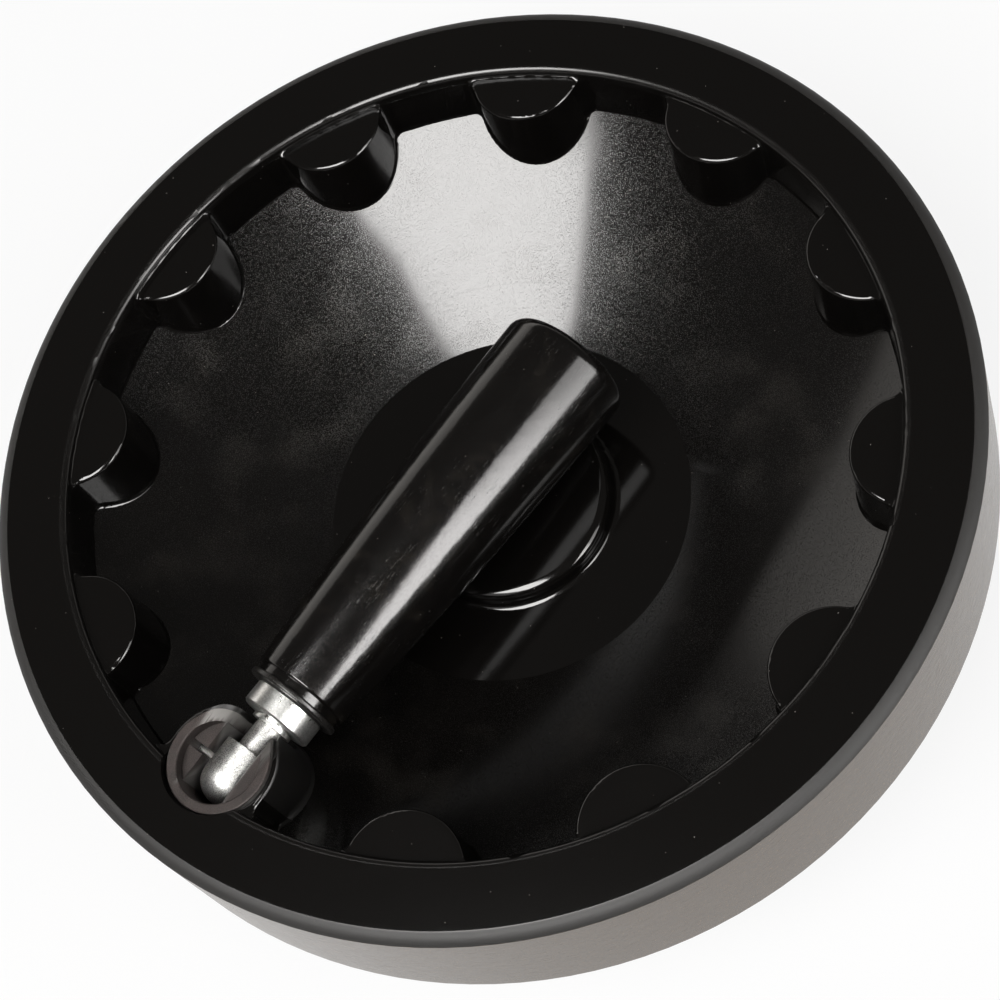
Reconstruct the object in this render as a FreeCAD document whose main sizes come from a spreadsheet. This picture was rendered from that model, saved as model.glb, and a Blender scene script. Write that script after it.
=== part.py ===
import FreeCAD, Part
import math
import os
import re

import Sketcher
from FreeCAD import Placement, Rotation, Vector

# A machine handwheel with a revolving handle that folds flat into the wheel's dish.
# The origin is the centre of the shaft bore at the hub's back face, and +Z points out of the front.
# The handle's socket is on the -X side. The handle's own pieces are drawn along the handle's axis,
# with the pivot pin at their origin, and are then laid down into the dish.

SIZES = {
    # Disc: rim
    "rim_radius": 100.0,
    "rim_draft": 1.0,
    "rim_back": 30.0,
    "rim_face": 60.0,
    "rim_width": 16.2,
    "rim_wall": 5.0,
    "rim_edge_width": 2.5,
    "rim_edge_drop": 1.5,
    "rim_edge_arc": 3.2,
    "rim_inner_round": 1.2,
    # Disc: web and hub
    "web_edge_depth": 13.6,
    "web_sag": 1.96,
    "web_wall": 6.6,
    "hub_face_radius": 38.5,
    "hub_face_height": 25.3,
    "hub_boss_radius": 26.0,
    "hub_boss_draft": 1.0,
    "hub_boss_root": 3.0,
    "hub_nose_radius": 22.4,
    "hub_nose_height": 4.0,
    "hub_nose_round": 2.3,
    "hub_nose_root": 1.5,
    # Disc: finger lobes
    "lobe_count": 12,
    "lobe_radius": 11.8,
    "lobe_centre_inset": 14.5,
    "lobe_drop": 2.6,
    "lobe_wall": 5.0,
    "lobe_round": 0.8,
    "lobe_blend": 2.5,
    "web_blend": 1.5,
    # Steel bush in the hub
    "shaft_bore_radius": 10.0,
    "bush_radius": 17.0,
    "bush_length": 25.0,
    "bush_groove_width": 6.0,
    "bush_groove_depth": 1.5,
    "key_width": 6.0,
    "key_height": 12.8,
    "bore_chamfer": 1.0,
    # Socket cup, its hole in the disc and its screw
    "socket_inset": 22.0,
    "cup_radius": 10.45,
    "cup_bore_radius": 8.3,
    "cup_drop": 1.4,
    "cup_shelf_depth": 2.7,
    "cup_slot_half_width": 4.8,
    "cup_depth": 16.6,
    "cup_floor_wall": 3.5,
    "cup_fit": 0.05,
    "cup_recess_gap": 0.45,
    "cup_edge": 0.35,
    "cup_groove_width": 1.5,
    "press_gap": 0.03,
    "socket_wall": 1.2,
    "socket_floor": 5.0,
    "socket_back_wall": 1.0,
    "screw_face_radius": 6.0,
    "notch_half_width": 4.4,
    "notch_mouth_half_width": 8.9,
    "notch_round": 4.5,
    "notch_depth": 13.6,
    "boss_notch_gap": 0.6,
    "boss_notch_drop": 4.0,
    "screw_radius": 2.5,
    "screw_tip_gap": 0.5,
    "screw_hole_gap": 0.3,
    "screw_head_radius": 4.25,
    "screw_head_height": 2.8,
    "screw_head_round": 0.6,
    "screw_key_width": 3.0,
    "screw_key_depth": 1.8,
    "washer_radius": 4.5,
    "washer_thickness": 1.2,
    "washer_split": 1.0,
    # Pivot pin and rod
    "pin_depth": 8.6,
    "pin_radius": 2.0,
    "pin_length": 19.4,
    "pin_edge": 0.3,
    "running_gap": 0.06,
    "handle_tilt": 3.4,
    "tongue_radius": 5.5,
    "tongue_nose": 7.0,
    "tongue_end": 4.75,
    "tongue_half_thickness": 3.9,
    "rod_radius": 3.0,
    "rod_length": 62.0,
    "seat_radius": 5.3,
    "seat_thickness": 1.5,
    "end_screw_radius": 2.0,
    "end_screw_length": 10.0,
    "end_screw_head_radius": 3.5,
    "end_screw_head_height": 2.4,
    "end_screw_slot": 1.0,
    # Sleeve, spring and ring
    "sleeve_start": 11.0,
    "flange_radius": 4.4,
    "flange_thickness": 0.8,
    "flange_groove_radius": 3.7,
    "flange_groove_width": 0.4,
    "collar_radius": 7.5,
    "collar_length": 5.0,
    "collar_chamfer": 0.4,
    "shank_radius": 6.7,
    "sleeve_length": 49.0,
    "spring_shoulder": 13.0,
    "spring_bore_radius": 5.6,
    "spring_wire_radius": 0.6,
    "spring_mean_radius": 4.3,
    "spring_turns": 6,
    "ring_radius": 10.0,
    "ring_thickness": 1.2,
    "ring_round": 0.4,
    "clip_wire": 1.0,
    "clip_seat_depth": 0.45,
    "clip_depth": 0.8,
    "clip_clearance": 0.3,
    "clip_from_end": 4.0,
    "clip_opening": 40.0,
    # Grip
    "face_gap": 0.1,
    "grip_neck_radius": 9.2,
    "grip_neck_length": 1.6,
    "grip_base_radius": 10.1,
    "grip_end_radius": 13.97,
    "grip_length": 88.5,
    "grip_bulge": 0.85,
    "grip_end_round": 3.0,
    "grip_base_round": 0.5,
    "grip_bore_gap": 8.6,
}

doc = FreeCAD.newDocument("machine_handwheel")
sheet = doc.addObject("Spreadsheet::Sheet", "Sizes")
for row, (alias, size) in enumerate(SIZES.items(), start=1):
    sheet.set(f"A{row}", alias)
    sheet.set(f"B{row}", str(size))
    sheet.setAlias(f"B{row}", alias)
doc.recompute()

PIECES = []


def formula(text):
    """The expression with each size looked up in the sheet."""
    return re.sub(r"[a-z_]+", lambda word: f"Sizes.{word[0]}" if word[0] in SIZES else word[0], str(text))


def value(text):
    """What the expression comes to now."""
    return float(sheet.evalExpression(formula(text)))


def piece(name):
    """A new sub-part, which is checked and written at the end."""
    made = doc.addObject("PartDesign::Body", name)
    made.Label = name
    PIECES.append(made)
    return made


def sketch_on(body, role, name, height="0", turn="0"):
    """A sketch on one of the body's own origin planes, raised along its normal and turned in it."""
    plane = next(feature for feature in body.Origin.OriginFeatures if feature.Role == role)
    sketch = body.newObject("Sketcher::SketchObject", name)
    sketch.AttachmentSupport = [(plane, "")]
    sketch.MapMode = "FlatFace"
    sketch.setExpression("AttachmentOffset.Base.z", formula(height))
    if turn != "0":
        sketch.AttachmentOffset = Placement(Vector(), Rotation(Vector(0, 0, 1), value(turn)))
        sketch.setExpression("AttachmentOffset.Rotation.Angle", formula(turn))
    return sketch


def bind(sketch, kind, where, text):
    """A dimension in the sketch that follows the expression."""
    number = sketch.addConstraint(Sketcher.Constraint(kind, *where, value(text)))
    sketch.setExpression(f"Constraints[{number}]", formula(text))


def place_point(sketch, edge, end, across, up):
    """Fixes one end of an edge at a point given by two expressions."""
    origin_point = (-1, 1)
    for kind, text, axis in (("DistanceX", across, -2), ("DistanceY", up, -1)):
        if text == "0":
            sketch.addConstraint(Sketcher.Constraint("PointOnObject", edge, end, axis))
        else:
            bind(sketch, kind, (*origin_point, edge, end), text)


def outline(sketch, corners):
    """A closed wire through the corners. A corner is (across, up), or (across, up, radius, side) where an arc
    leads to it: its centre is on the left of the way there for side 1, and on the right for side -1.
    A half circle also names the dimension that holds its centre, as (kind, expression)."""
    spots = [Vector(value(corner[0]), value(corner[1]), 0) for corner in corners]
    first_end, last_end, edges = {}, {}, []
    for number, corner in enumerate(corners):
        start, finish = spots[number - 1], spots[number]
        if len(corner) == 2:
            edge = sketch.addGeometry(Part.LineSegment(start, finish), False)
            first_end[edge], last_end[edge] = 1, 2
        else:
            radius, side = value(corner[2]), corner[3]
            chord = finish - start
            left = Vector(-chord.y, chord.x, 0).normalize()
            reach = math.sqrt(max(radius**2 - (chord.Length / 2) ** 2, 0.0))
            centre = (start + finish) * 0.5 + left * (reach * side)
            begin, stop = (start, finish) if side == 1 else (finish, start)
            angles = [math.atan2(spot.y - centre.y, spot.x - centre.x) for spot in (begin, stop)]
            whole = Part.Circle(centre, Vector(0, 0, 1), radius)
            edge = sketch.addGeometry(Part.ArcOfCircle(whole, *angles), False)
            first_end[edge], last_end[edge] = (1, 2) if side == 1 else (2, 1)
        edges.append(edge)
    for number, edge in enumerate(edges):
        before = edges[number - 1]
        joined = (before, last_end[before], edge, first_end[edge])
        sketch.addConstraint(Sketcher.Constraint("Coincident", *joined))
        place_point(sketch, edge, last_end[edge], *corners[number][:2])
    for edge, corner in zip(edges, corners):
        if len(corner) == 4:
            bind(sketch, "Radius", (edge,), corner[2])
        if len(corner) == 5:
            kind, text = corner[4]
            bind(sketch, kind, (-1, 1, edge, 3), text)


def box_corners(left, right, low, high):
    """The four corners of an upright rectangle."""
    return [(left, low), (right, low), (right, high), (left, high)]


def circle(sketch, across, up, radius):
    """A full circle about a point given by two expressions."""
    spot = Vector(value(across), value(up), 0)
    edge = sketch.addGeometry(Part.Circle(spot, Vector(0, 0, 1), value(radius)), False)
    place_point(sketch, edge, 3, across, up)
    bind(sketch, "Radius", (edge,), radius)


def turned(body, name, corners, cut=False, angle="360", across="0"):
    """Revolves a closed outline, drawn as radius and height, about the body's Z axis or one beside it."""
    sketch = sketch_on(body, "XZ_Plane", name + "_profile")
    sketch.setExpression("AttachmentOffset.Base.x", formula(across))
    outline(sketch, corners)
    feature = body.newObject("PartDesign::Groove" if cut else "PartDesign::Revolution", name)
    feature.Profile = sketch
    feature.ReferenceAxis = (sketch, ["V_Axis"])
    feature.setExpression("Angle", formula(angle))
    return feature


def pushed(body, name, sketch, length, cut=False, up=True, both_ways=False):
    """Pads a sketch, or pockets with it, along its plane's normal or against it."""
    feature = body.newObject("PartDesign::Pocket" if cut else "PartDesign::Pad", name)
    feature.Profile = sketch
    feature.setExpression("Length", formula(length))
    if both_ways:
        feature.SideType = "Symmetric"
    feature.Reversed = cut == up
    return feature


def drilled(body, name, radius, start, length, across="0", up="0", role="XY_Plane", both_ways=False):
    """A round hole from a height on the plane's normal, going up it."""
    sketch = sketch_on(body, role, name + "_circle", start)
    circle(sketch, across, up, radius)
    return pushed(body, name, sketch, length, cut=True, both_ways=both_ways)


def round_the_axis(body, name, feature):
    """Repeats a feature at every lobe but the socket's."""
    z_axis = next(item for item in body.Origin.OriginFeatures if item.Role == "Z_Axis")
    doc.recompute()
    pattern = body.newObject("PartDesign::PolarPattern", name)
    pattern.Originals = [feature]
    pattern.Axis = (z_axis, [""])
    pattern.setExpression("Angle", formula("360 - 720 / lobe_count"))
    pattern.setExpression("Occurrences", formula("lobe_count - 1"))
    body.Tip = pattern
    return pattern


def dressed(body, kind, name, size, chosen):
    """A fillet or chamfer on the edges of the body's tip that the chooser picks."""
    doc.recompute()
    base = body.Tip
    names = [f"Edge{number}" for number, edge in enumerate(base.Shape.Edges, start=1) if chosen(edge)]
    feature = body.newObject(f"PartDesign::{kind}", name)
    feature.Base = (base, names)
    feature.setExpression({"Fillet": "Radius", "Chamfer": "Size"}[kind], formula(size))
    body.Tip = feature
    return feature


def near(first, second, slack=0.01):
    return abs(first - second) < slack


def radius_at(point):
    """How far a point lies from the Z axis."""
    return math.hypot(point.x, point.y)


def along(edge):
    """The edge's two ends and its middle."""
    middle = edge.valueAt((edge.FirstParameter + edge.LastParameter) / 2)
    return [edge.valueAt(edge.FirstParameter), middle, edge.valueAt(edge.LastParameter)]


def on_circle(radius, height):
    """A chooser of edges that lie on that circle about the Z axis."""
    r, z = value(radius), value(height)
    return lambda edge: all(near(radius_at(spot), r) and near(spot.z, z) for spot in along(edge))


# Heights and radii that follow from the sizes

RIM_INNER = "(rim_radius - rim_width)"
LOBE_CENTRE = "(rim_radius - lobe_centre_inset)"
LOBE_TOP = "(rim_face - lobe_drop)"
WEB_EDGE = "(rim_face - web_edge_depth)"
WEB_RISE = f"({WEB_EDGE} - hub_face_height)"
WEB_RUN = f"({RIM_INNER} - hub_face_radius)"
WEB_ARC = f"(({WEB_RISE}^2 + {WEB_RUN}^2) / (8 * web_sag) + web_sag / 2)"
WEB_BACK = "(hub_face_height - web_wall)"
NOSE_TOP = "(hub_face_height + hub_nose_height)"
SKIRT_INNER = f"({RIM_INNER} + rim_wall)"
SKIRT_OUTER = "(rim_radius - rim_wall)"
CHANNEL_TOP = "(rim_face - rim_wall)"
SOCKET_X = "(rim_radius - socket_inset)"
CUP_TOP = "(rim_face - cup_drop)"
CUP_SHELF = f"({CUP_TOP} - cup_shelf_depth)"
CUP_FLOOR = f"({CUP_TOP} - cup_depth)"
CUP_BASE = f"({CUP_FLOOR} - cup_floor_wall)"
NOTCH_FLOOR = f"({CUP_TOP} - notch_depth)"
PIN_HEIGHT = f"({CUP_TOP} - pin_depth)"
CUP_HOLE = "(cup_radius + cup_fit)"
SOCKET_BOSS = f"({CUP_HOLE} + socket_wall)"
SCREW_FACE = f"({CUP_BASE} - socket_floor)"
FLANGE_END = "(sleeve_start + flange_thickness)"
COLLAR_FACE = f"({FLANGE_END} + flange_groove_width)"
RING_FACE = f"({COLLAR_FACE} + collar_length)"
GRIP_FACE = f"({RING_FACE} + ring_thickness + face_gap)"
SLEEVE_END = "(sleeve_start + sleeve_length)"
SPRING_START = "(sleeve_start + spring_shoulder)"
CLIP_PLACE = f"({SLEEVE_END} - clip_from_end)"
GRIP_BORE = "(shank_radius + running_gap)"


def on_web(edge):
    """Whether an edge lies where walls meet the front of the web."""
    arc, rise, run = value(WEB_ARC), value(WEB_RISE), value(WEB_RUN)
    chord = math.hypot(rise, run)
    reach = arc - value("web_sag")
    centre_radius = value("hub_face_radius") + run / 2 - rise / chord * reach
    centre_height = value("hub_face_height") + rise / 2 + run / chord * reach

    def on_surface(spot):
        return near(math.hypot(radius_at(spot) - centre_radius, spot.z - centre_height), arc, 0.02)

    return all(on_surface(spot) and radius_at(spot) > value("hub_face_radius") + 1 for spot in along(edge))


def notch_corners(top, gap, floor):
    """The socket's side notch: a U with flared lips."""
    half, mouth = f"(notch_half_width + {gap})", f"(notch_mouth_half_width + {gap})"
    bottom = f"({floor} + {half})"
    lip, above = f"({top} - notch_round)", f"({top} + notch_round)"
    return [
        (f"-{mouth}", above),
        (f"-{mouth}", top),
        (f"-{half}", lip, "notch_round", -1),
        (f"-{half}", bottom),
        (half, bottom, half, 1, ("DistanceY", bottom)),
        (half, lip),
        (mouth, top, "notch_round", -1),
        (mouth, above),
    ]


def disc_front(body):
    """The turned form of the disc's front, with its lobes and the socket's boss."""
    turned(
        body,
        "disc_form",
        [
            ("0", "0"),
            ("hub_boss_radius", "0"),
            (SKIRT_OUTER, "rim_back"),
            ("rim_radius", "rim_back"),
            ("rim_radius - rim_draft", "rim_face - rim_edge_drop"),
            ("rim_radius - rim_draft - rim_edge_width", "rim_face", "rim_edge_arc", 1),
            (f"{RIM_INNER} + rim_inner_round", "rim_face"),
            (RIM_INNER, "rim_face - rim_inner_round", "rim_inner_round", 1),
            (RIM_INNER, WEB_EDGE),
            ("hub_face_radius", "hub_face_height", WEB_ARC, -1),
            ("hub_nose_radius + hub_nose_root", "hub_face_height"),
            ("hub_nose_radius", "hub_face_height + hub_nose_root", "hub_nose_root", -1),
            ("hub_nose_radius", f"{NOSE_TOP} - hub_nose_round"),
            ("hub_nose_radius - hub_nose_round", NOSE_TOP, "hub_nose_round", 1),
            ("0", NOSE_TOP),
        ],
    )
    lobe_sketch = sketch_on(body, "XY_Plane", "lobe_outline", LOBE_TOP, "180 + 360 / lobe_count")
    circle(lobe_sketch, LOBE_CENTRE, "0", "lobe_radius")
    lobe = pushed(body, "lobe", lobe_sketch, f"{LOBE_TOP} - rim_back", up=False)
    round_the_axis(body, "lobes", lobe)
    boss_sketch = sketch_on(body, "XY_Plane", "socket_boss_outline", LOBE_TOP)
    outline(
        boss_sketch,
        [
            (f"-{SKIRT_INNER}", SOCKET_BOSS),
            (f"-{SKIRT_INNER}", f"-{SOCKET_BOSS}"),
            (f"-{SOCKET_X}", f"-{SOCKET_BOSS}"),
            (f"-{SOCKET_X}", SOCKET_BOSS, SOCKET_BOSS, 1, ("DistanceX", f"-{SOCKET_X}")),
        ],
    )
    pushed(body, "socket_boss", boss_sketch, f"{LOBE_TOP} - rim_back", up=False)


def disc_edges(body):
    """The roundings of the front, from the lobes' top edges to the foot of every wall."""
    lobe_top, inner = value(LOBE_TOP), value(RIM_INNER)

    def lobe_edge(edge):
        spots = along(edge)
        return all(near(spot.z, lobe_top) for spot in spots) and radius_at(spots[1]) < inner - 0.1

    def lobe_side(edge):
        spots = along(edge)
        return all(near(radius_at(spot), inner) for spot in spots) and (
            value(WEB_EDGE) + 0.1 < spots[1].z < lobe_top + 0.1
        )

    dressed(body, "Fillet", "lobe_edges", "lobe_round", lobe_edge)
    dressed(body, "Fillet", "lobe_sides", "lobe_blend", lobe_side)
    dressed(body, "Fillet", "web_foot", "web_blend", on_web)


def disc_back(body):
    """The hollows behind: one turned hollow with the rim's channel, and a pocket in each lobe."""
    below = "(-rim_wall)"
    turned(
        body,
        "back_hollow",
        [
            ("hub_boss_radius", below),
            ("hub_boss_radius", "0"),
            ("hub_boss_radius + hub_boss_draft", f"{WEB_BACK} - hub_boss_root"),
            ("hub_boss_radius + hub_boss_draft + hub_boss_root", WEB_BACK, "hub_boss_root", -1),
            ("hub_face_radius", WEB_BACK),
            (RIM_INNER, f"{WEB_EDGE} - web_wall", WEB_ARC, 1),
            (SKIRT_INNER, f"{WEB_EDGE} - web_wall"),
            (SKIRT_INNER, CHANNEL_TOP),
            (f"{SKIRT_OUTER} - rim_draft", CHANNEL_TOP),
            (SKIRT_OUTER, "rim_back"),
            (SKIRT_OUTER, below),
        ],
        cut=True,
    )
    pocket_sketch = sketch_on(
        body, "XY_Plane", "lobe_pocket_outline", f"{LOBE_TOP} - lobe_wall", "180 + 360 / lobe_count"
    )
    circle(pocket_sketch, LOBE_CENTRE, "0", "lobe_radius - lobe_wall")
    pocket = pushed(body, "lobe_pocket", pocket_sketch, f"{LOBE_TOP} - lobe_wall", cut=True, up=False)
    round_the_axis(body, "lobe_pockets", pocket)
    core = sketch_on(body, "XY_Plane", "socket_core_circle", SCREW_FACE)
    circle(core, f"-{SOCKET_X}", "0", f"{CUP_HOLE} + socket_back_wall")
    pushed(body, "socket_core", core, f"{CHANNEL_TOP} - {SCREW_FACE}")
    turned(body, "bush_seat", bush_corners(), cut=True)


def disc_socket(body):
    """The socket's seat: the screw's spot face and hole, the cup's hole and its recess, and the notch."""
    below, above = f"({SCREW_FACE} - socket_floor)", "(rim_face + rim_wall)"
    screw_hole, recess = "(screw_radius + screw_hole_gap)", "(cup_radius + cup_recess_gap)"
    turned(
        body,
        "socket_seat",
        [
            ("0", below),
            ("screw_face_radius", below),
            ("screw_face_radius", SCREW_FACE),
            (screw_hole, SCREW_FACE),
            (screw_hole, CUP_BASE),
            (CUP_HOLE, CUP_BASE),
            (CUP_HOLE, LOBE_TOP),
            (recess, LOBE_TOP),
            (recess, above),
            ("0", above),
        ],
        cut=True,
        across=f"-{SOCKET_X}",
    )
    notch = sketch_on(body, "YZ_Plane", "boss_notch_outline", f"-{SOCKET_X}")
    outline(notch, notch_corners(LOBE_TOP, "boss_notch_gap", f"({NOTCH_FLOOR} - boss_notch_drop)"))
    pushed(body, "boss_notch", notch, f"{SOCKET_BOSS} + notch_round", cut=True)


def make_wheel_disc():
    """The moulded disc, closed in front of the bush, which is moulded in."""
    body = piece("wheel_disc")
    disc_front(body)
    disc_back(body)
    disc_edges(body)
    disc_socket(body)


def bush_corners():
    """Half the bush's outline, with the groove that keys it into the moulding."""
    low, high = "(bush_length - bush_groove_width) / 2", "(bush_length + bush_groove_width) / 2"
    return [
        ("0", "0"),
        ("bush_radius", "0"),
        ("bush_radius", low),
        ("bush_radius - bush_groove_depth", low),
        ("bush_radius - bush_groove_depth", high),
        ("bush_radius", high),
        ("bush_radius", "bush_length"),
        ("0", "bush_length"),
    ]


def make_hub_bush():
    """The steel bush: a through bore with a keyway, chamfered at the mouth."""
    body = piece("hub_bush")
    turned(body, "bush_form", bush_corners())
    drilled(body, "shaft_bore", "shaft_bore_radius", "0", "bush_length")
    dressed(body, "Chamfer", "bore_mouth", "bore_chamfer", on_circle("shaft_bore_radius", "0"))
    keyway = sketch_on(body, "XY_Plane", "keyway_outline")
    outline(keyway, box_corners("-key_width / 2", "key_width / 2", "0", "key_height"))
    pushed(body, "keyway", keyway, "bush_length", cut=True)


def make_handle_socket():
    """The die-cast cup: a ring over a shelf, a slot for the tongue, a side notch and the pin's cross hole."""
    body = piece("handle_socket")
    turned(body, "cup_form", box_corners("0", "cup_radius", CUP_BASE, CUP_TOP))
    drilled(body, "ring_bore", "cup_bore_radius", CUP_SHELF, "cup_shelf_depth")
    dressed(
        body,
        "Fillet",
        "cup_edges",
        "cup_edge",
        lambda edge: any(on_circle(radius, CUP_TOP)(edge) for radius in ("cup_radius", "cup_bore_radius")),
    )
    slot = sketch_on(body, "XY_Plane", "slot_outline", CUP_SHELF)
    reach = "sqrt(cup_bore_radius^2 - cup_slot_half_width^2)"
    outline(
        slot,
        [
            (f"-{reach}", "cup_slot_half_width"),
            (f"-{reach}", "-cup_slot_half_width", "cup_bore_radius", 1),
            (reach, "-cup_slot_half_width"),
            (reach, "cup_slot_half_width", "cup_bore_radius", 1),
        ],
    )
    pushed(body, "slot", slot, f"{CUP_SHELF} - {CUP_FLOOR}", cut=True, up=False)
    notch = sketch_on(body, "YZ_Plane", "notch_outline")
    outline(notch, notch_corners(CUP_TOP, "0", NOTCH_FLOOR))
    pushed(body, "notch", notch, "cup_radius + notch_round", cut=True)
    groove = sketch_on(body, "XY_Plane", "pin_groove_outline", CUP_SHELF)
    outline(groove, box_corners("-cup_groove_width / 2", "cup_groove_width / 2", "0", "cup_bore_radius"))
    pushed(body, "pin_groove", groove, f"{CUP_SHELF} - {PIN_HEIGHT}", cut=True, up=False)
    pin_fit = "pin_radius + press_gap"
    drilled(body, "pin_hole", pin_fit, "0", "3 * cup_radius", up=PIN_HEIGHT, role="XZ_Plane", both_ways=True)
    drilled(body, "tapped_hole", "screw_radius + press_gap", CUP_BASE, "cup_floor_wall")
    body.setExpression("Placement.Base.x", formula(f"-{SOCKET_X}"))


def make_socket_screw():
    """The screw that holds the cup: a round head with a hexagon key hole."""
    body = piece("socket_screw")
    seat = f"({SCREW_FACE} - washer_thickness)"
    head = f"({seat} - screw_head_height)"
    tip = f"({CUP_FLOOR} - screw_tip_gap)"
    turned(
        body,
        "screw_form",
        [
            ("0", head),
            ("screw_head_radius", head),
            ("screw_head_radius", seat),
            ("screw_radius", seat),
            ("screw_radius", tip),
            ("0", tip),
        ],
    )
    dressed(body, "Fillet", "head_edge", "screw_head_round", on_circle("screw_head_radius", head))
    dressed(body, "Chamfer", "screw_tip", "screw_head_round", on_circle("screw_radius", tip))
    key_hole = sketch_on(body, "XY_Plane", "key_hole_outline", head)
    corner, half = "screw_key_width / sqrt(3)", "screw_key_width / 2"
    outline(
        key_hole,
        [
            (f"-{corner}", "0"),
            (f"-{corner} / 2", f"-{half}"),
            (f"{corner} / 2", f"-{half}"),
            (corner, "0"),
            (f"{corner} / 2", half),
            (f"-{corner} / 2", half),
        ],
    )
    pushed(body, "key_hole", key_hole, "screw_key_depth", cut=True)
    body.setExpression("Placement.Base.x", formula(f"-{SOCKET_X}"))


def make_socket_washer():
    """The split lock washer between the screw's head and the disc."""
    body = piece("socket_washer")
    turned(
        body,
        "washer_form",
        box_corners(
            "screw_radius + screw_hole_gap", "washer_radius", f"{SCREW_FACE} - washer_thickness", SCREW_FACE
        ),
    )
    split = sketch_on(body, "XY_Plane", "split_outline", SCREW_FACE)
    outline(split, box_corners("0", "2 * washer_radius", "-washer_split / 2", "washer_split / 2"))
    pushed(body, "split", split, "2 * washer_thickness", cut=True, up=False)
    body.setExpression("Placement.Base.x", formula(f"-{SOCKET_X}"))


def make_pivot_pin():
    """The pin that the tongue turns on, lying across the cup."""
    body = piece("pivot_pin")
    turned(body, "pin_form", box_corners("0", "pin_radius", "-pin_length / 2", "pin_length / 2"))
    dressed(
        body,
        "Chamfer",
        "pin_ends",
        "pin_edge",
        lambda edge: any(on_circle("pin_radius", end)(edge) for end in ("-pin_length / 2", "pin_length / 2")),
    )
    body.Placement = Placement(Vector(), Rotation(Vector(1, 0, 0), 90))
    body.setExpression("Placement.Base.x", formula(f"-{SOCKET_X}"))
    body.setExpression("Placement.Base.z", formula(PIN_HEIGHT))


def lay_down(body):
    """Puts a piece that is drawn along the handle's axis on the pivot pin, folded into the dish."""
    body.Placement = Placement(Vector(), Rotation(Vector(0, 1, 0), value("90 + handle_tilt")))
    body.setExpression("Placement.Base.x", formula(f"-{SOCKET_X}"))
    body.setExpression("Placement.Base.z", formula(PIN_HEIGHT))
    body.setExpression("Placement.Rotation.Angle", formula("90 + handle_tilt"))


def make_handle_rod():
    """The turned rod: a round-nosed tongue with two flats and the pin's cross hole, and a tapped far end."""
    body = piece("handle_rod")
    nose = "(tongue_radius - tongue_nose)"
    turned(
        body,
        "rod_form",
        [
            ("0", "-tongue_nose"),
            ("tongue_radius", nose, "tongue_radius", 1),
            ("tongue_radius", "tongue_end"),
            ("rod_radius", "tongue_end"),
            ("rod_radius", "rod_length"),
            ("0", "rod_length"),
        ],
    )
    flats = sketch_on(body, "XZ_Plane", "flats_outline", "tongue_half_thickness")
    outline(
        flats,
        box_corners("-2 * tongue_radius", "2 * tongue_radius", "-2 * tongue_nose", "tongue_end"),
    )
    near_flat = pushed(body, "near_flat", flats, "tongue_radius", cut=True)
    xz_plane = next(item for item in body.Origin.OriginFeatures if item.Role == "XZ_Plane")
    doc.recompute()
    far_flat = body.newObject("PartDesign::Mirrored", "far_flat")
    far_flat.Originals = [near_flat]
    far_flat.MirrorPlane = (xz_plane, [""])
    body.Tip = far_flat
    pin_fit, screw_fit = "pin_radius + running_gap", "end_screw_radius + press_gap"
    drilled(body, "pin_hole", pin_fit, "0", "4 * tongue_radius", role="XZ_Plane", both_ways=True)
    drilled(body, "tapped_end", screw_fit, "rod_length - end_screw_length", "end_screw_length")
    lay_down(body)


def make_spring_seat():
    """The washer on the rod's end that the spring pushes against."""
    body = piece("spring_seat")
    hole, far_face = "end_screw_radius + press_gap", "rod_length + seat_thickness"
    turned(body, "seat_form", box_corners(hole, "seat_radius", "rod_length", far_face))
    lay_down(body)


def make_rod_end_screw():
    """The slotted screw that holds the spring seat on the rod."""
    body = piece("rod_end_screw")
    seat = "(rod_length + seat_thickness)"
    top = f"({seat} + end_screw_head_height)"
    turned(
        body,
        "end_screw_form",
        [
            ("0", "rod_length - end_screw_length + screw_tip_gap"),
            ("end_screw_radius", "rod_length - end_screw_length + screw_tip_gap"),
            ("end_screw_radius", seat),
            ("end_screw_head_radius", seat),
            ("end_screw_head_radius", top),
            ("0", top),
        ],
    )
    slot = sketch_on(body, "XY_Plane", "driver_slot_outline", top)
    reach, half = "2 * end_screw_head_radius", "end_screw_slot / 2"
    outline(slot, box_corners(f"-{reach}", reach, f"-{half}", half))
    pushed(body, "driver_slot", slot, "end_screw_head_height / 2", cut=True, up=False)
    lay_down(body)


def make_sleeve_spring():
    """The compression spring between the sleeve's shoulder and its seat."""
    body = piece("sleeve_spring")
    wire = sketch_on(body, "XZ_Plane", "wire_circle")
    circle(wire, "spring_mean_radius", f"{SPRING_START} + 2 * spring_wire_radius", "spring_wire_radius")
    coil = body.newObject("PartDesign::AdditiveHelix", "coil")
    coil.Profile = wire
    coil.ReferenceAxis = (wire, ["V_Axis"])
    coil.Mode = "height-turns-angle"
    coil.setExpression("Height", formula(f"rod_length - {SPRING_START} - 4 * spring_wire_radius"))
    coil.setExpression("Turns", formula("spring_turns"))
    lay_down(body)


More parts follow.
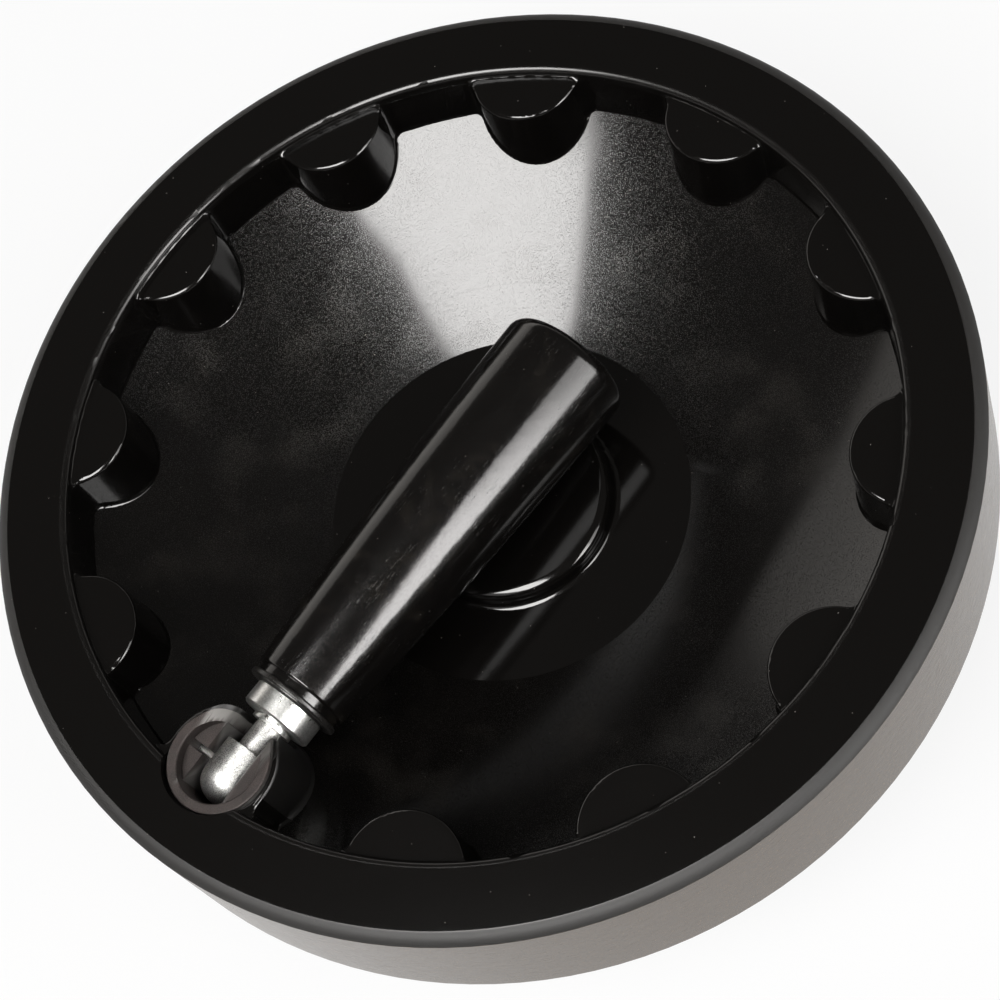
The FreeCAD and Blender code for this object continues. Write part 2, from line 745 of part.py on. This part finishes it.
def make_lock_sleeve():
    """The plated sleeve: a thin flange, the collar that locks in the cup's ring, and the grip's shank."""
    body = piece("lock_sleeve")
    turned(
        body,
        "sleeve_form",
        [
            ("rod_radius + running_gap", "sleeve_start"),
            ("flange_radius", "sleeve_start"),
            ("flange_radius", FLANGE_END),
            ("flange_groove_radius", FLANGE_END),
            ("flange_groove_radius", COLLAR_FACE),
            ("collar_radius", COLLAR_FACE),
            ("collar_radius", RING_FACE),
            ("shank_radius", RING_FACE),
            ("shank_radius", f"{CLIP_PLACE} - clip_wire / 2"),
            ("shank_radius - clip_seat_depth", f"{CLIP_PLACE} - clip_wire / 2"),
            ("shank_radius - clip_seat_depth", f"{CLIP_PLACE} + clip_wire / 2"),
            ("shank_radius", f"{CLIP_PLACE} + clip_wire / 2"),
            ("shank_radius", SLEEVE_END),
            ("spring_bore_radius", SLEEVE_END),
            ("spring_bore_radius", SPRING_START),
            ("rod_radius + running_gap", SPRING_START),
        ],
    )
    dressed(
        body,
        "Chamfer",
        "collar_edges",
        "collar_chamfer",
        lambda edge: any(
            on_circle(radius, height)(edge)
            for radius, height in (("collar_radius", COLLAR_FACE), ("collar_radius", RING_FACE))
        ),
    )
    lay_down(body)


def make_grip_ring():
    """The thin black ring between the collar and the grip."""
    body = piece("grip_ring")
    end = f"({RING_FACE} + ring_thickness)"
    turned(body, "ring_form", box_corners("shank_radius + running_gap", "ring_radius", RING_FACE, end))
    dressed(
        body,
        "Fillet",
        "ring_edges",
        "ring_round",
        lambda edge: any(on_circle("ring_radius", height)(edge) for height in (RING_FACE, end)),
    )
    lay_down(body)


def make_snap_ring():
    """The open wire ring that keeps the grip on the sleeve."""
    body = piece("snap_ring")
    turned(
        body,
        "clip_form",
        box_corners(
            "shank_radius - clip_seat_depth + press_gap",
            "shank_radius + clip_depth - clip_clearance",
            f"{CLIP_PLACE} - clip_wire / 2 + press_gap",
            f"{CLIP_PLACE} + clip_wire / 2 - press_gap",
        ),
        angle="360 - clip_opening",
    )
    lay_down(body)


def make_grip():
    """The tapered grip: a bulged side, a rounded closed end, and a blind bore with the ring's groove."""
    body = piece("grip")
    base = f"({GRIP_FACE} + grip_neck_length)"
    end = f"({GRIP_FACE} + grip_length)"
    rise, run = f"({end} - {base})", "(grip_end_radius - grip_base_radius)"
    side = f"(({rise}^2 + {run}^2) / (8 * grip_bulge) + grip_bulge / 2)"
    bore_end = "(rod_length + seat_thickness + end_screw_head_height + grip_bore_gap)"
    low = f"({CLIP_PLACE} - clip_wire / 2 - clip_clearance)"
    high = f"({CLIP_PLACE} + clip_wire / 2 + clip_clearance)"
    turned(
        body,
        "grip_form",
        [
            (GRIP_BORE, GRIP_FACE),
            ("grip_neck_radius", GRIP_FACE),
            ("grip_neck_radius", base),
            ("grip_base_radius", base),
            ("grip_end_radius", end, side, 1),
            ("0", end),
            ("0", bore_end),
            (GRIP_BORE, bore_end),
            (GRIP_BORE, high),
            ("shank_radius + clip_depth", high),
            ("shank_radius + clip_depth", low),
            (GRIP_BORE, low),
        ],
    )
    dressed(body, "Fillet", "end_edge", "grip_end_round", on_circle("grip_end_radius", end))
    dressed(body, "Fillet", "base_edge", "grip_base_round", on_circle("grip_base_radius", base))
    lay_down(body)


make_wheel_disc()
make_hub_bush()
make_handle_socket()
make_socket_screw()
make_socket_washer()
make_pivot_pin()
make_handle_rod()
make_spring_seat()
make_rod_end_screw()
make_sleeve_spring()
make_lock_sleeve()
make_grip_ring()
make_snap_ring()
make_grip()
doc.recompute()

failed = [made.Name for made in doc.Objects if "Invalid" in made.State or "Error" in made.State]
if failed:
    raise RuntimeError(f"these objects failed: {failed}")
os.makedirs("parts", exist_ok=True)
for made in PIECES:
    shape = made.Shape
    if shape.isNull() or not shape.isValid() or len(shape.Solids) != 1:
        raise RuntimeError(f"{made.Label} is not one valid solid")
    shape.exportStep(os.path.join("parts", made.Label + ".step"))
    print(f"{made.Label}: {shape.Volume / 1000:.2f} cm3, {len(shape.Faces)} faces")
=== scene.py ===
import bpy
from mathutils import Matrix, Vector

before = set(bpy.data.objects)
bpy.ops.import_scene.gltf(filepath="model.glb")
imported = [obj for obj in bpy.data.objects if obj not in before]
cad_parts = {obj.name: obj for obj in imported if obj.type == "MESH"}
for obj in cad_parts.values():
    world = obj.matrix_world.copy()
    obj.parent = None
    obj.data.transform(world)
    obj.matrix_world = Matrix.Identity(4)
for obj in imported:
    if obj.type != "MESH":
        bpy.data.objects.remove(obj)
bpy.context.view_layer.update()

# Lengths are in metres. The shaft axis is Z, the dish faces up, and the folded handle lies along +X.

# The drawn profile of the disc's front: each arc's centre (radius and height) and its own radius
EDGE_ARC = (0.096284, 0.056807, 0.0032)
INNER_ARC = (0.0850, 0.0588, 0.0012)
WEB_ARC = (-0.005683, 0.179335, 0.160247)
WEB_RADII = (0.0385, 0.0838)
LOBE_TOP, HUB_FACE, NOSE_TOP = 0.0574, 0.0253, 0.0293
WALL_TOP = 0.0585

# How far the mesh may lie from the drawn arcs and from the flat faces
OFF_ARC = 0.00014
OFF_FLAT = 0.000004

# Where the disc's looks change, as radii, heights and an angle
LOBE_CORNER_RADII = (0.076, 0.0845)
INNER_ROUND_RADII = (0.0836, 0.0851)
EDGE_BLEND_RADII = (0.0962, 0.0968)
WALL_RADIUS = 0.0986
WALL_LIMIT = WALL_TOP + 0.00003
NOTCH_RADII = (0.060, 0.0795)
NOTCH_TOP = 0.0573
NOTCH_ANGLE = 2.93

GLOSS_IOR = 1.5
DUST = (0.12, 0.11, 0.10, 1.0)


def add(tree, kind, inputs=None, **settings):
    """A new node, with its settings, and with inputs that are values or other nodes' outputs."""
    made = tree.nodes.new(kind)
    for name, setting in settings.items():
        setattr(made, name, setting)
    for name, given in (inputs or {}).items():
        feed(tree, made.inputs[name], given)
    return made


def feed(tree, socket, given):
    """Link another node's output to a socket, or set its value."""
    if isinstance(given, bpy.types.NodeSocket):
        tree.links.new(given, socket)
    else:
        socket.default_value = given


def maths(tree, operation, *values):
    """The result of a Math node."""
    return add(tree, "ShaderNodeMath", dict(enumerate(values)), operation=operation).outputs[0]


def total(tree, first, *others):
    """The sum of values."""
    for other in others:
        first = maths(tree, "ADD", first, other)
    return first


def times(tree, first, *others):
    """The product of values, also of masks that all have to be 1."""
    for other in others:
        first = maths(tree, "MULTIPLY", first, other)
    return first


def minus(tree, first, second):
    """The difference of two values."""
    return maths(tree, "SUBTRACT", first, second)


def above(tree, value, limit):
    """1 where a value is above a limit, and 0 elsewhere."""
    return maths(tree, "GREATER_THAN", value, limit)


def below(tree, value, limit):
    """1 where a value is below a limit, and 0 elsewhere."""
    return maths(tree, "LESS_THAN", value, limit)


def between(tree, value, low, high):
    """1 where a value is between two others, and 0 elsewhere."""
    return times(tree, above(tree, value, low), below(tree, value, high))


def vector_maths(tree, operation, inputs, output=0):
    """The result of a Vector Math node."""
    return add(tree, "ShaderNodeVectorMath", inputs, operation=operation).outputs[output]


def joined(tree, x=0.0, y=0.0, z=0.0):
    """A vector from its three parts."""
    return add(tree, "ShaderNodeCombineXYZ", {0: x, 1: y, 2: z}).outputs[0]


def parts_of(tree, vector):
    """The three parts of a vector."""
    return add(tree, "ShaderNodeSeparateXYZ", {0: vector}).outputs


def stretched(tree, vector, scale):
    """A vector with its parts scaled."""
    return add(tree, "ShaderNodeMapping", {"Vector": vector, "Scale": scale}).outputs[0]


def mix_value(tree, factor, first, second):
    """A value between two others."""
    made = add(tree, "ShaderNodeMix", {"Factor": factor, "A": first, "B": second}, data_type="FLOAT")
    return made.outputs[0]


def mixed(tree, factor, first, second):
    """A colour between two others."""
    made = add(tree, "ShaderNodeMix", {"Factor": factor}, data_type="RGBA")
    feed(tree, made.inputs[6], first)
    feed(tree, made.inputs[7], second)
    return made.outputs[2]


def ramp(tree, factor, low, high, first=0.0, last=1.0):
    """A smooth step of the factor from one value at low to another at high."""
    inputs = {"Value": factor, "From Min": low, "From Max": high, "To Min": first, "To Max": last}
    return add(tree, "ShaderNodeMapRange", inputs, interpolation_type="SMOOTHSTEP").outputs[0]


def noise(tree, where, scale, detail=2.0, roughness=0.5, distortion=0.0):
    """A Noise texture's value at a place."""
    inputs = {
        "Vector": where,
        "Scale": scale,
        "Detail": detail,
        "Roughness": roughness,
        "Distortion": distortion,
    }
    return add(tree, "ShaderNodeTexNoise", inputs).outputs[0]


def bumped(tree, height, distance, before=None):
    """A normal that follows a height, on top of the normal before it."""
    inputs = {"Height": height, "Distance": distance, "Strength": 1.0}
    if before:
        inputs["Normal"] = before
    return add(tree, "ShaderNodeBump", inputs).outputs[0]


def random_value(tree, cells):
    """A random value for each cell of a Voronoi texture."""
    return add(tree, "ShaderNodeTexWhiteNoise", {"Vector": cells.outputs["Color"]}).outputs["Value"]


def new_material(name, **shader):
    """A material with one Principled shader, its tree and the place on the object."""
    made = bpy.data.materials.new(name)
    made.use_nodes = True
    tree = made.node_tree
    tree.nodes.clear()
    output = tree.nodes.new("ShaderNodeOutputMaterial")
    surface = add(tree, "ShaderNodeBsdfPrincipled", shader)
    tree.links.new(surface.outputs[0], output.inputs["Surface"])
    place = add(tree, "ShaderNodeTexCoord").outputs["Object"]
    return made, tree, surface.inputs, place


def polar(tree, place):
    """Radius, height and angle of a place about the Z axis."""
    x, y, height = parts_of(tree, place)
    radius = vector_maths(tree, "LENGTH", {0: joined(tree, x, y)}, "Value")
    return radius, height, maths(tree, "ARCTAN2", y, x)


def specks(tree, place):
    """1 on fine scattered dust specks, and 0 between them."""
    cells = add(tree, "ShaderNodeTexVoronoi", {"Vector": place, "Scale": 700.0})
    near = below(tree, cells.outputs["Distance"], 0.075)
    return times(tree, near, above(tree, random_value(tree, cells), 0.93))


def scratches(tree, across, along, scale, share):
    """1 on short fine scratches, and 0 between them."""
    lines = noise(tree, joined(tree, across, times(tree, along, 0.07)), scale, 1.0, 0.5, 0.2)
    patches = noise(tree, joined(tree, across, along), scale * 0.09)
    return times(tree, ramp(tree, lines, share, share + 0.05), ramp(tree, patches, 0.48, 0.60))


def near_arc(tree, out, up, radius):
    """1 where a place, given from an arc's centre, lies on the arc, and 0 elsewhere."""
    length = maths(tree, "SQRT", total(tree, times(tree, out, out), times(tree, up, up)))
    return below(tree, maths(tree, "ABSOLUTE", minus(tree, length, radius)), OFF_ARC)


def drawn_normal(tree, place, radius, height):
    """The normal from the disc's drawn profile, or the mesh's own elsewhere, and 1 where the web is.

    The mesh's normals are averages over its facets, which bends a sharp reflection. The small round
    between a lobe's top and the rim counts as flat.
    """
    # The rim: its inner arc, its flat top and its outer arc, which are all followed from one line
    inside = below(tree, radius, INNER_ARC[0])
    nearest = maths(tree, "MINIMUM", maths(tree, "MAXIMUM", radius, INNER_ARC[0]), EDGE_ARC[0])
    rim_out = minus(tree, radius, nearest)
    rim_up = minus(tree, height, total(tree, times(tree, inside, INNER_ARC[1] - EDGE_ARC[1]), EDGE_ARC[1]))
    rim_radius = total(tree, times(tree, inside, INNER_ARC[2] - EDGE_ARC[2]), EDGE_ARC[2])
    on_rim = times(tree, near_arc(tree, rim_out, rim_up, rim_radius), above(tree, height, WALL_TOP))

    # The web, which is hollow, so its normal points to the arc's centre
    web_out = minus(tree, WEB_ARC[0], radius)
    web_up = minus(tree, WEB_ARC[1], height)
    on_web = times(tree, near_arc(tree, web_out, web_up, WEB_ARC[2]), between(tree, radius, *WEB_RADII))

    # The flat faces, and the corner between a lobe's top and the rim
    mesh_own = add(tree, "ShaderNodeNewGeometry").outputs["Normal"]
    flats = [between(tree, height, z - OFF_FLAT, z + OFF_FLAT) for z in (LOBE_TOP, HUB_FACE, NOSE_TOP)]
    corner = times(
        tree,
        between(tree, height, LOBE_TOP, WALL_TOP),
        between(tree, radius, *LOBE_CORNER_RADII),
        ramp(tree, parts_of(tree, mesh_own)[2], 0.30, 0.75),
    )
    on_flat = maths(tree, "MAXIMUM", total(tree, *flats), corner)

    # The drawn normal's parts. It points up where nothing is drawn, because it may not be zero.
    drawn = maths(tree, "MINIMUM", total(tree, on_rim, on_web, on_flat), 1.0)
    out = total(tree, times(tree, on_rim, rim_out), times(tree, on_web, web_out))
    up = total(tree, times(tree, on_rim, rim_up), times(tree, on_web, web_up))
    up = total(tree, up, maths(tree, "MAXIMUM", on_flat, minus(tree, 1.0, drawn)))
    level = vector_maths(tree, "MULTIPLY", {0: place, 1: (1.0, 1.0, 0.0)})
    outward = vector_maths(tree, "SCALE", {0: vector_maths(tree, "NORMALIZE", {0: level}), "Scale": out})
    both = vector_maths(tree, "ADD", {0: outward, 1: joined(tree, z=up)})
    turned = add(
        tree,
        "ShaderNodeVectorTransform",
        {"Vector": both},
        vector_type="NORMAL",
        convert_from="OBJECT",
        convert_to="WORLD",
    )
    inputs = {"Factor": drawn, 4: mesh_own, 5: turned.outputs[0]}
    chosen = add(tree, "ShaderNodeMix", inputs, data_type="VECTOR")
    return vector_maths(tree, "NORMALIZE", {0: chosen.outputs[1]}), on_web


def disc_black():
    """Gloss-black moulding, with a fine haze, scratches and smudges on the web, and a turned rim."""
    made, tree, surface, place = new_material("disc_black", IOR=GLOSS_IOR)
    radius, height, angle = polar(tree, place)
    drawn, on_web = drawn_normal(tree, place, radius, height)

    # Where the rim is turned, where its inner edge is rounded, and where the notch beside the cup is
    on_wall = times(tree, above(tree, radius, WALL_RADIUS), below(tree, height, WALL_LIMIT))
    on_edge = times(tree, ramp(tree, radius, *EDGE_BLEND_RADII), above(tree, height, WALL_LIMIT))
    on_round = times(tree, between(tree, radius, *INNER_ROUND_RADII), above(tree, height, LOBE_TOP))
    beside_cup = times(
        tree,
        between(tree, radius, *NOTCH_RADII),
        above(tree, maths(tree, "ABSOLUTE", angle), NOTCH_ANGLE),
    )
    in_notch = times(tree, beside_cup, minus(tree, below(tree, height, NOTCH_TOP), on_web))

    # The marks: a cloudy fine haze, combed along the radius, and smudges, scratches, dust and turning
    arc_length = total(tree, times(tree, angle, 0.06), times(tree, radius, 0.12))
    cloud = noise(tree, place, 38.0, 4.0, 0.6)
    fine = noise(tree, joined(tree, arc_length, times(tree, radius, 0.25), height), 8600.0, 1.0)
    hazy = ramp(tree, total(tree, fine, times(tree, cloud, 0.12)), 0.52, 0.68)
    smudge = times(tree, ramp(tree, noise(tree, place, 75.0), 0.50, 0.74), on_web)
    scratched = times(tree, scratches(tree, arc_length, radius, 3000.0, 0.655), on_web)
    dust = specks(tree, place)
    turning = noise(tree, joined(tree, times(tree, angle, 0.006), height), 4200.0, 3.0, 0.6)

    # Base colour: black, paler where it is marked, and brown on the turned wall
    film = times(tree, maths(tree, "MAXIMUM", smudge, scratched), 0.5)
    clean = mixed(tree, film, (0.0030, 0.0026, 0.0023, 1.0), (0.012, 0.0105, 0.009, 1.0))
    # A brown tone on the outer wall, varied by the turning noise
    wall_brown = mixed(tree, turning, (0.044, 0.027, 0.012, 1.0), (0.078, 0.051, 0.026, 1.0))
    feed(tree, surface["Base Color"], mixed(tree, dust, mixed(tree, on_wall, clean, wall_brown), DUST))

    # Roughness: a sharp gloss with fine dull spots, and dull where it is turned
    rough = total(
        tree,
        0.09,
        times(tree, hazy, maths(tree, "MULTIPLY_ADD", on_web, 0.17, 0.02)),
        times(tree, smudge, 0.04),
        times(tree, scratched, 0.04),
        times(tree, dust, 0.3),
        times(tree, on_edge, 0.50),
        times(tree, on_round, 0.14),
        times(tree, in_notch, 0.32),
        times(tree, on_wall, ramp(tree, turning, 0.3, 0.7, 0.09, 0.19)),
    )
    feed(tree, surface["Roughness"], rough)

    # Relief: a fine grain, scratches, and turning marks on the wall
    grain = times(tree, fine, maths(tree, "MULTIPLY_ADD", on_web, 0.8, 0.2))
    normal = bumped(tree, grain, 0.0000005, drawn)
    normal = bumped(tree, times(tree, scratched, -1.0), 0.0000006, normal)
    feed(tree, surface["Normal"], bumped(tree, times(tree, turning, on_wall), 0.000012, normal))
    return made


def grip_black():
    """The grip's gloss-black moulding, worn by hands in fine lengthwise marks."""
    made, tree, surface, place = new_material("grip_black", IOR=GLOSS_IOR)
    lengthwise = stretched(tree, place, (0.10, 1.0, 1.0))
    wear = noise(tree, lengthwise, 4200.0, 3.0, 0.65)
    patches = ramp(tree, noise(tree, place, 160.0), 0.46, 0.60)
    marks = times(tree, ramp(tree, noise(tree, lengthwise, 3300.0, 1.0), 0.60, 0.66), patches)
    fine = noise(tree, place, 4300.0, 2.0, 0.6)
    smudge = ramp(tree, noise(tree, place, 110.0, 4.0, 0.6, 0.8), 0.5, 0.72)
    clean = mixed(tree, smudge, (0.0034, 0.0029, 0.0026, 1.0), (0.010, 0.0085, 0.007, 1.0))
    feed(tree, surface["Base Color"], mixed(tree, specks(tree, place), clean, DUST))
    rough = total(
        tree,
        0.10,
        times(tree, ramp(tree, fine, 0.42, 0.70), 0.15),
        times(tree, smudge, 0.03),
        times(tree, marks, 0.10),
    )
    feed(tree, surface["Roughness"], rough)
    feed(tree, surface["Normal"], bumped(tree, marks, 0.0000015, bumped(tree, wear, 0.0000022)))
    return made


def ring_black():
    """The ring's satin black moulding, with a fine grain."""
    made, tree, surface, place = new_material("ring_black", IOR=GLOSS_IOR)
    grain = noise(tree, place, 5000.0)
    colour = mixed(tree, grain, (0.006, 0.0055, 0.005, 1.0), (0.012, 0.011, 0.010, 1.0))
    feed(tree, surface["Base Color"], colour)
    feed(tree, surface["Roughness"], ramp(tree, grain, 0.2, 0.8, 0.22, 0.38))
    feed(tree, surface["Normal"], bumped(tree, grain, 0.000008))
    return made


def plated_steel():
    """Zinc plating: a fine crystal grain over faint turning marks."""
    made, tree, surface, place = new_material("plated_steel", Metallic=1.0)
    crystals = add(tree, "ShaderNodeTexVoronoi", {"Vector": place, "Scale": 3600.0, "Randomness": 1.0})
    cloud = noise(tree, place, 330.0, 3.0, 0.6)
    patch = total(tree, times(tree, random_value(tree, crystals), 0.3), times(tree, cloud, 0.7))
    colour = mixed(tree, ramp(tree, patch, 0.25, 0.75), (0.52, 0.52, 0.505, 1.0), (0.78, 0.785, 0.765, 1.0))
    feed(tree, surface["Base Color"], colour)
    feed(tree, surface["Roughness"], ramp(tree, cloud, 0.3, 0.7, 0.27, 0.34))
    turned = noise(tree, stretched(tree, place, (1.0, 0.03, 0.03)), 9000.0)
    grain = noise(tree, place, 5200.0, 2.0, 0.6)
    feed(tree, surface["Normal"], bumped(tree, total(tree, times(tree, turned, 0.5), grain), 0.0000014))
    return made


def blasted_steel():
    """The tongue's blasted and plated surface, with sparkling fine dents."""
    made, tree, surface, place = new_material("blasted_steel", Metallic=1.0)
    dents = noise(tree, place, 5200.0, 2.0, 0.6)
    cloud = noise(tree, place, 700.0, 3.0, 0.6)
    tone = total(tree, times(tree, dents, 0.85), times(tree, cloud, 0.15))
    colour = mixed(tree, ramp(tree, tone, 0.34, 0.66), (0.20, 0.20, 0.194, 1.0), (0.68, 0.68, 0.66, 1.0))
    feed(tree, surface["Base Color"], colour)
    feed(tree, surface["Roughness"], ramp(tree, cloud, 0.3, 0.7, 0.36, 0.44))
    feed(tree, surface["Normal"], bumped(tree, dents, 0.0000040))
    return made


def cup_zinc_alloy():
    """The cup's die-cast skin: dark brown-grey, matte and finely grained, with a painted highlight on its
    sharp edges.
    """
    made, tree, surface, place = new_material("cup_zinc_alloy", Metallic=0.6)
    grain = noise(tree, place, 5600.0, 2.0, 0.7)
    cloud = noise(tree, place, 240.0, 3.0, 0.6)
    tone = total(tree, times(tree, grain, 0.75), times(tree, cloud, 0.25))
    skin = mixed(tree, ramp(tree, tone, 0.36, 0.64), (0.006, 0.0047, 0.0043, 1.0), (0.050, 0.040, 0.037, 1.0))
    # Painted highlight: the base colour turns pale grey on sharp convex edges, where a highlight would fall
    edge_highlight = ramp(tree, add(tree, "ShaderNodeNewGeometry").outputs["Pointiness"], 0.52, 0.58)
    feed(tree, surface["Base Color"], mixed(tree, edge_highlight, skin, (0.12, 0.115, 0.11, 1.0)))
    feed(tree, surface["Roughness"], ramp(tree, cloud, 0.3, 0.7, 0.50, 0.62))
    feed(tree, surface["Normal"], bumped(tree, grain, 0.000016))
    return made


def bare_steel(name, dark, pale, marks, rough):
    """Steel with fine marks round or along it."""
    made, tree, surface, place = new_material(name, Metallic=1.0)
    lines = noise(tree, stretched(tree, place, marks), 3000.0, 3.0)
    cloud = noise(tree, place, 150.0, 4.0, 0.6)
    feed(tree, surface["Base Color"], mixed(tree, ramp(tree, cloud, 0.3, 0.7), dark, pale))
    feed(tree, surface["Roughness"], ramp(tree, lines, 0.25, 0.75, rough, rough + 0.15))
    feed(tree, surface["Normal"], bumped(tree, lines, 0.000006))
    return made


ALONG_BORE, ALL_WAYS = (0.05, 0.05, 1.0), (1.0, 1.0, 1.0)
bush_steel = bare_steel("bush_steel", (0.30, 0.30, 0.31, 1.0), (0.48, 0.48, 0.49, 1.0), ALONG_BORE, 0.25)
spring_steel = bare_steel("spring_steel", (0.20, 0.20, 0.21, 1.0), (0.36, 0.36, 0.37, 1.0), ALL_WAYS, 0.28)
LOOKS = (
    (disc_black(), ("wheel_disc",)),
    (grip_black(), ("grip",)),
    (ring_black(), ("grip_ring",)),
    (cup_zinc_alloy(), ("handle_socket",)),
    (blasted_steel(), ("handle_rod",)),
    (plated_steel(), ("lock_sleeve", "socket_screw", "pivot_pin", "spring_seat", "rod_end_screw")),
    (bush_steel, ("hub_bush",)),
    (spring_steel, ("sleeve_spring", "socket_washer", "snap_ring")),
)
for look, nodes in LOOKS:
    for node in nodes:
        for material_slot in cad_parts[node].material_slots:
            material_slot.material = look


# The studio: a white floor, a dim room that is pale near the floor, and two soft lamps. The gloss also
# shows two bright panels, which light nothing else.

WHITE = (1.0, 1.0, 1.0, 1.0)
FLOOR_HALF = 12.0
PAPER = (0.86, 0.86, 0.86, 1.0)
FLOOR_GLOW = 0.85
ROOM_TONE = 0.09
BACKDROP_COLOUR = (1.0, 0.955, 0.905, 1.0)
BACKDROP_SLOPE, BACKDROP_DROP, LOW_HORIZON = 1.71, 1.07, 0.10
PANEL_COLOUR = (1.0, 0.985, 0.97, 1.0)
PANEL_HEIGHT = 1.3
PANEL_OUTLINE = (
    (-0.075, 0.06),
    (-0.080, 0.25),
    (-0.200, 0.34),
    (-0.313, 0.388),
    (-0.476, 0.324),
    (-0.753, 0.233),
    (-0.95, 0.19),
    (-2.10, 0.22),
    (-2.10, -0.90),
    (-0.45, -0.80),
    (-0.240, -0.34),
    (-0.207, -0.204),
    (-0.151, -0.109),
    (-0.112, -0.025),
)
WINDOW_PLACE = -1.3
WINDOW_OUTLINE = (
    (-0.12, 0.36),
    (0.90, 0.36),
    (0.90, 1.85),
    (0.48, 1.80),
    (0.35, 1.65),
    (0.24, 1.42),
    (0.13, 1.16),
    (0.05, 0.98),
    (-0.03, 0.80),
    (-0.12, 0.66),
)
HIGHLIGHT = 18.5
LAMP_ENERGY = 21.0
LAMP_SIZE = 1.0

SENSOR_WIDTH, LENS = 36.0, 74.85
CAMERA_PLACE = (-0.07841, -0.18481, 0.40989)
CAMERA_RIGHT = (0.59650, -0.76280, -0.24963)
CAMERA_UP = (0.78214, 0.48267, 0.39406)


def place_object(name, data):
    """A new object in the scene."""
    made = bpy.data.objects.new(name, data)
    bpy.context.scene.collection.objects.link(made)
    return made


def flat_face(name, corners):
    """A flat face in the scene."""
    mesh = bpy.data.meshes.new(name)
    mesh.from_pydata(corners, [], [tuple(range(len(corners)))])
    return place_object(name, mesh)


def shade(face, name, shader_of):
    """Give a face a material with the shader that a function makes in its tree."""
    made = bpy.data.materials.new(name)
    made.use_nodes = True
    tree = made.node_tree
    tree.nodes.clear()
    output = add(tree, "ShaderNodeOutputMaterial")
    tree.links.new(shader_of(tree), output.inputs["Surface"])
    face.data.materials.append(made)


def make_room():
    """The world: white to the camera, and in the gloss a dim room with a pale backdrop."""
    world = bpy.data.worlds.new("room")
    bpy.context.scene.world = world
    world.use_nodes = True
    tree = world.node_tree
    tree.nodes.clear()
    _, y, z = parts_of(tree, add(tree, "ShaderNodeTexCoord").outputs["Generated"])
    slope = minus(tree, times(tree, y, BACKDROP_SLOPE), BACKDROP_DROP)
    over = minus(tree, z, maths(tree, "MAXIMUM", slope, LOW_HORIZON))
    tone = times(tree, ramp(tree, over, -0.04, 0.04, 1.0, ROOM_TONE), ramp(tree, z, 0.1, 0.4, 1.4, 1.0))
    seen = add(tree, "ShaderNodeLightPath").outputs["Is Camera Ray"]
    inputs = {"Color": mixed(tree, seen, BACKDROP_COLOUR, WHITE), "Strength": mix_value(tree, seen, tone, 1.0)}
    light = add(tree, "ShaderNodeBackground", inputs)
    output = add(tree, "ShaderNodeOutputWorld")
    tree.links.new(light.outputs[0], output.inputs["Surface"])


def make_floor():
    """A white floor, which shows white to the camera and in the gloss, and keeps a faint shadow."""

    def white_paper(tree):
        rays = add(tree, "ShaderNodeLightPath").outputs
        seen = maths(tree, "MAXIMUM", rays["Is Glossy Ray"], rays["Is Transmission Ray"])
        share = times(tree, maths(tree, "MAXIMUM", rays["Is Camera Ray"], seen), FLOOR_GLOW)
        paper = add(tree, "ShaderNodeBsdfDiffuse", {"Color": PAPER}).outputs[0]
        white = add(tree, "ShaderNodeEmission", {"Color": WHITE, "Strength": 1.0}).outputs[0]
        return add(tree, "ShaderNodeMixShader", {0: share, 1: paper, 2: white}).outputs[0]

    far = FLOOR_HALF
    floor = flat_face("floor", [(-far, -far, 0), (far, -far, 0), (far, far, 0), (-far, far, 0)])
    shade(floor, "floor_white", white_paper)


def lit_panel(name, corners, strength, fade_from, fade_to, share):
    """A bright panel that only the gloss shows. It fades from one X to another, to a share of itself."""

    def glow(tree):
        across = parts_of(tree, add(tree, "ShaderNodeTexCoord").outputs["Object"])[0]
        level = ramp(tree, across, fade_from, fade_to, strength, strength * share)
        return add(tree, "ShaderNodeEmission", {"Color": PANEL_COLOUR, "Strength": level}).outputs[0]

    panel = flat_face(name, corners)
    shade(panel, name + "_light", glow)
    panel.visible_camera = False
    panel.visible_diffuse = False
    panel.visible_shadow = False


def soft_lamp(name, place, energy):
    """A square lamp that points at the object, lights the colours and doesn't show in the gloss."""
    data = bpy.data.lights.new(name, "AREA")
    data.shape = "SQUARE"
    data.size = LAMP_SIZE
    data.energy = energy
    lamp = place_object(name, data)
    lamp.location = place
    lamp.rotation_euler = (-Vector(place)).to_track_quat("-Z", "Y").to_euler()
    lamp.visible_glossy = False
    lamp.visible_camera = False


def make_camera():
    """The camera at the photograph's viewing angle and distance."""
    data = bpy.data.cameras.new("camera")
    data.sensor_width = SENSOR_WIDTH
    data.lens = LENS
    camera = place_object("camera", data)
    right, up = Vector(CAMERA_RIGHT), Vector(CAMERA_UP)
    turn = Matrix((right, up, right.cross(up))).transposed()
    camera.matrix_world = Matrix.Translation(CAMERA_PLACE) @ turn.to_4x4()
    bpy.context.scene.camera = camera


make_room()
make_floor()
overhead = [(x, y, PANEL_HEIGHT) for x, y in PANEL_OUTLINE]
lit_panel("overhead_panel", overhead, HIGHLIGHT, -0.80, -1.06, 0.06)
window = [(x, WINDOW_PLACE, z) for x, z in WINDOW_OUTLINE]
lit_panel("window_panel", window, HIGHLIGHT * 0.85, 0.15, 0.62, 0.3)
soft_lamp("overhead_lamp", (-0.8, -0.1, 1.3), LAMP_ENERGY)
soft_lamp("window_lamp", (0.36, -1.3, 1.02), LAMP_ENERGY * 0.6)
make_camera()
bpy.context.scene.view_settings.view_transform = "Standard"
